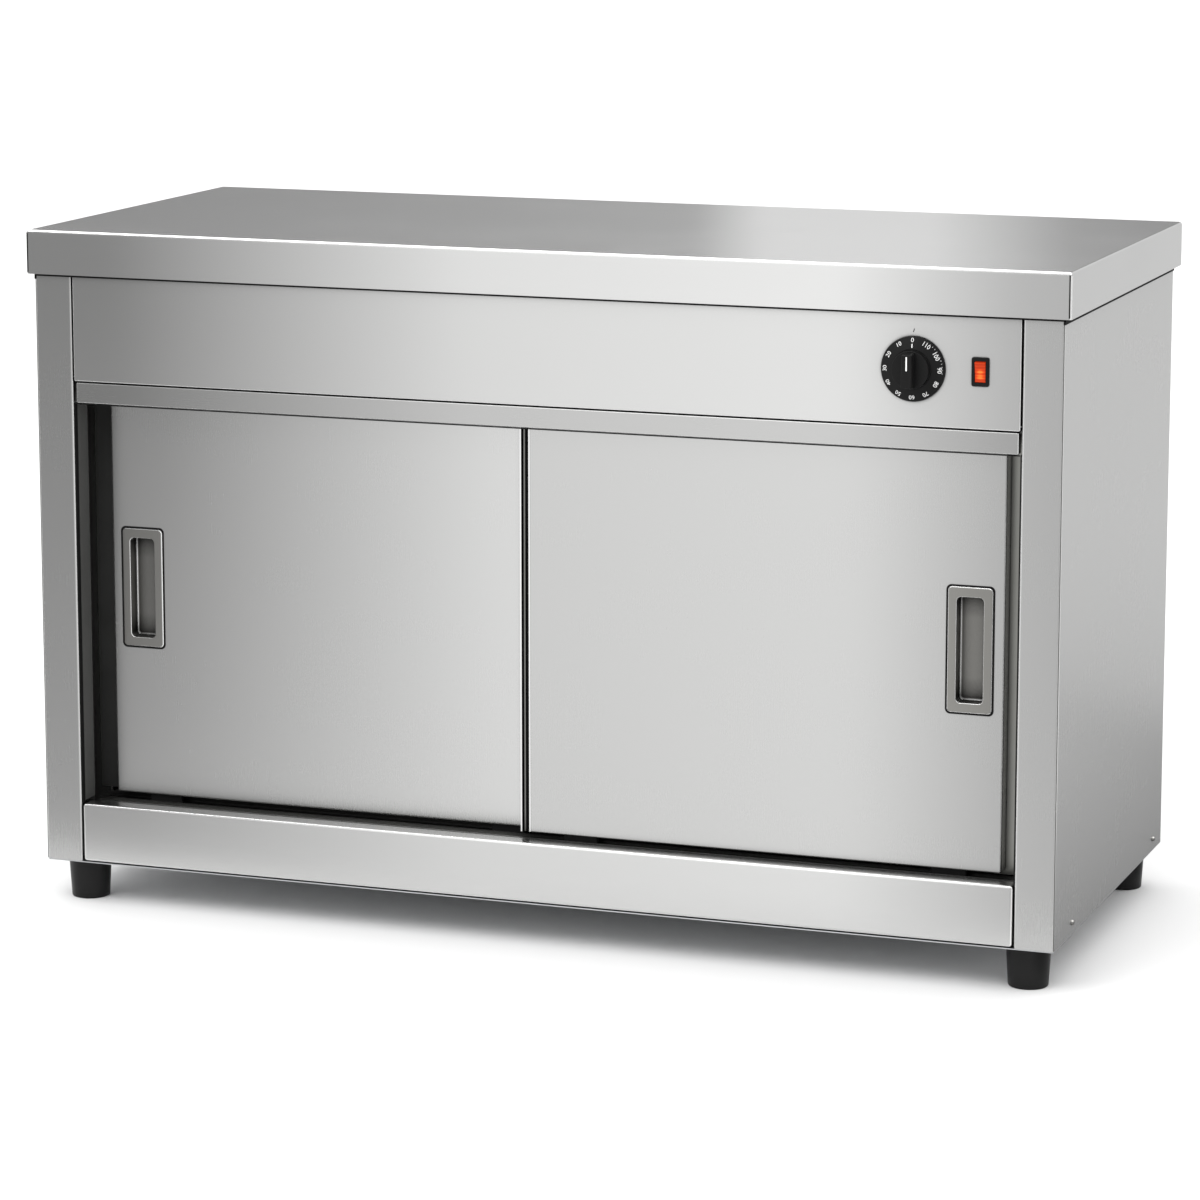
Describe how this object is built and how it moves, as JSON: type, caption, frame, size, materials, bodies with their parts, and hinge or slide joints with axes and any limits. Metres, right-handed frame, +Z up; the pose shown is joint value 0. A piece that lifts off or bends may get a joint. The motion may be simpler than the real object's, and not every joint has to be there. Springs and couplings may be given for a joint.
{
  "type": "plate warmer cabinet",
  "caption": "Low stainless hot cupboard for plates: flat worktop, control panel with dial and lit rocker, sliding doors with flush handles, heated inner box with a shelf.",
  "frame": {"origin": "on the floor, at the middle of the whole object's outline in plan", "axes": "+X to the right seen from the front, +Y towards the back, +Z up; the doors face -Y"},
  "size_m": [1.216, 0.572, 0.783],
  "materials": {
    "stainless_top": "fine brushed, satin, grain along the width",
    "stainless_front": "fine brushed, satin, grain along the width",
    "stainless_side": "fine brushed, satin, grain upright",
    "stainless_door": "fine brushed, satin",
    "stainless_rear": "plain rolled stainless, dull",
    "stainless_inner": "plain rolled stainless, semi bright",
    "handle_steel": "pressed stainless, satin",
    "galvanised_steel": "zinc coated sheet, dull",
    "element_steel": "heat darkened tube, matt",
    "copper_tube": "drawn copper, dull",
    "strip_aluminium": "extruded, satin",
    "screw_steel": "bright plated steel",
    "insulation_wool": "mineral wool slab, matt",
    "seal_rubber": "matt black rubber",
    "foot_black": "moulded black plastic, satin",
    "knob_black": "moulded black plastic, satin",
    "switch_black": "moulded black plastic, glossy",
    "gland_black": "moulded black nylon",
    "rocker_red": "translucent red plastic, lit",
    "ceramic_white": "glazed ceramic",
    "moulded_beige": "moulded thermoset plastic",
    "guide_nylon": "natural nylon",
    "roller_nylon": "natural nylon",
    "loom_sleeve": "woven glass sleeve"
  },
  "bodies": {
    "cabinet": {"worktop": "stainless_top", "worktop_channels": "galvanised_steel", "back_panel": "stainless_rear", "fascia_panel": "stainless_front", "top_track_front": "stainless_front", "top_track_rear": "stainless_inner", "bottom_rail": "stainless_front", "lower_track": "stainless_inner", "base_pan": "galvanised_steel", "casing_left": "stainless_side", "casing_right": "stainless_side", "liner_left": "stainless_inner", "liner_right": "stainless_inner", "liner_back": "stainless_inner", "ceiling_liner": "stainless_inner", "deck": "stainless_inner", "mid_shelf": "stainless_inner", "shelf_supports": "stainless_inner", "jamb_strip": "stainless_inner", "jamb_seal": "seal_rubber", "insulation_sides": "insulation_wool", "insulation_back": "insulation_wool", "insulation_top": "insulation_wool", "heat_shield": "galvanised_steel", "heating_element": "element_steel", "element_supports": "galvanised_steel", "element_bushes": "ceramic_white", "thermostat_body": "moulded_beige", "thermostat_capillary": "copper_tube", "bulb_clips": "stainless_inner", "switch_housing": "switch_black", "terminal_block": "moulded_beige", "cable_gland": "gland_black", "gland_nut": "gland_black", "wiring_looms": "loom_sleeve", "panel_screws": "screw_steel", "feet": "foot_black", "foot_bolts": "screw_steel"},
    "door_left": {"door_left_skin": "stainless_door", "door_left_inner": "stainless_inner", "door_left_core": "insulation_wool", "door_left_handle": "handle_steel", "door_left_hangers": "galvanised_steel", "door_left_guides": "guide_nylon"},
    "door_right": {"door_right_skin": "stainless_door", "door_right_inner": "stainless_inner", "door_right_core": "insulation_wool", "door_right_handle": "handle_steel", "door_right_hangers": "galvanised_steel", "door_right_guides": "guide_nylon", "door_right_strip": "strip_aluminium", "door_right_seal": "seal_rubber"},
    "roller_left_1": {"roller_left_1": "roller_nylon"},
    "roller_left_2": {"roller_left_2": "roller_nylon"},
    "roller_right_1": {"roller_right_1": "roller_nylon"},
    "roller_right_2": {"roller_right_2": "roller_nylon"},
    "dial": {"thermostat_knob": "knob_black", "thermostat_spindle": "screw_steel"},
    "switch_rocker": {"rocker": "rocker_red"}
  },
  "joints": [
    {"name": "door_left_slide", "type": "slide", "parent": "cabinet", "child": "door_left", "axis": [1, 0, 0], "range_m": [0, 0.44]},
    {"name": "door_right_slide", "type": "slide", "parent": "cabinet", "child": "door_right", "axis": [1, 0, 0], "range_m": [-0.44, 0]},
    {"name": "roller_left_1_spin", "type": "hinge", "parent": "door_left", "child": "roller_left_1", "pos_m": [-0.453, -0.199, 0.6278], "axis": [0, 1, 0], "range_deg": [0, 2660]},
    {"name": "roller_left_2_spin", "type": "hinge", "parent": "door_left", "child": "roller_left_2", "pos_m": [-0.0675, -0.199, 0.6278], "axis": [0, 1, 0], "range_deg": [0, 2660]},
    {"name": "roller_right_1_spin", "type": "hinge", "parent": "door_right", "child": "roller_right_1", "pos_m": [0.0675, -0.221, 0.6278], "axis": [0, 1, 0], "range_deg": [-2660, 0]},
    {"name": "roller_right_2_spin", "type": "hinge", "parent": "door_right", "child": "roller_right_2", "pos_m": [0.453, -0.221, 0.6278], "axis": [0, 1, 0], "range_deg": [-2660, 0]},
    {"name": "dial_turn", "type": "hinge", "parent": "cabinet", "child": "dial", "pos_m": [0.436, -0.258, 0.673], "axis": [0, 1, 0], "range_deg": [0, 330]},
    {"name": "rocker_tilt", "type": "hinge", "parent": "cabinet", "child": "switch_rocker", "pos_m": [0.5095, -0.258, 0.673], "axis": [1, 0, 0], "range_deg": [-16, 0]}
  ],
  "couplings": [
    {"joint": "roller_left_1_spin", "follows": "door_left_slide", "rad_per_m": 105.26},
    {"joint": "roller_left_2_spin", "follows": "door_left_slide", "rad_per_m": 105.26},
    {"joint": "roller_right_1_spin", "follows": "door_right_slide", "rad_per_m": 105.26},
    {"joint": "roller_right_2_spin", "follows": "door_right_slide", "rad_per_m": 105.26}
  ]
}
